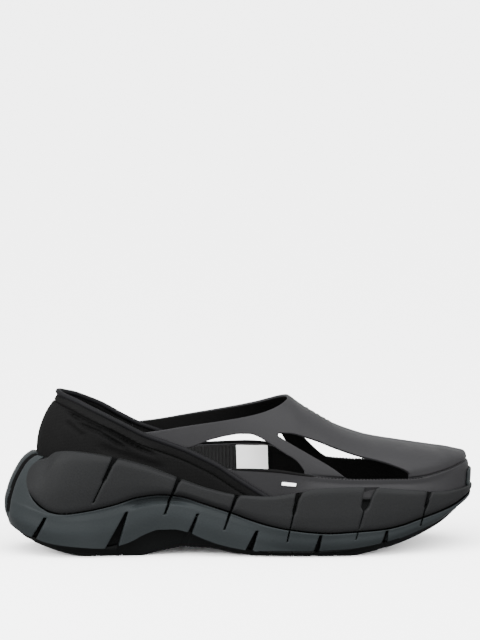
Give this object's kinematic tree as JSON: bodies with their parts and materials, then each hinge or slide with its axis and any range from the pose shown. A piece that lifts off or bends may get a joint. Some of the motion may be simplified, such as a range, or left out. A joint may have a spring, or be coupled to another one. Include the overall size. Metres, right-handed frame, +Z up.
{
  "type": "slip-on sneaker",
  "caption": "Slip-on sneaker with a two-tier wavy sole, a moulded cage upper with side openings and a textile heel sleeve.",
  "frame": {"origin": "on the floor, under the middle of the shoe's bounding box", "axes": "+X towards the toe, -Y towards the lateral side, +Z up"},
  "size_m": [0.311, 0.1077, 0.1054],
  "materials": {
    "outsole_rubber": "satin, faintly green dark grey rubber",
    "midsole_foam": "matte dark grey moulded foam",
    "cage_shell": "matte mid grey moulded shell, soft to the touch",
    "sleeve_textile": "matte black knitted textile over foam",
    "binding_tape": "fine woven tape, dark grey",
    "insole_textile": "matte black brushed textile",
    "label_tape": "plain white woven tape, blank"
  },
  "bodies": {
    "root": {"outsole": "outsole_rubber", "midsole": "midsole_foam", "upper": "cage_shell", "heel_sleeve": "sleeve_textile", "collar_binding": "binding_tape", "insole": "insole_textile", "toe_tab": "outsole_rubber"}
  },
  "joints": []
}
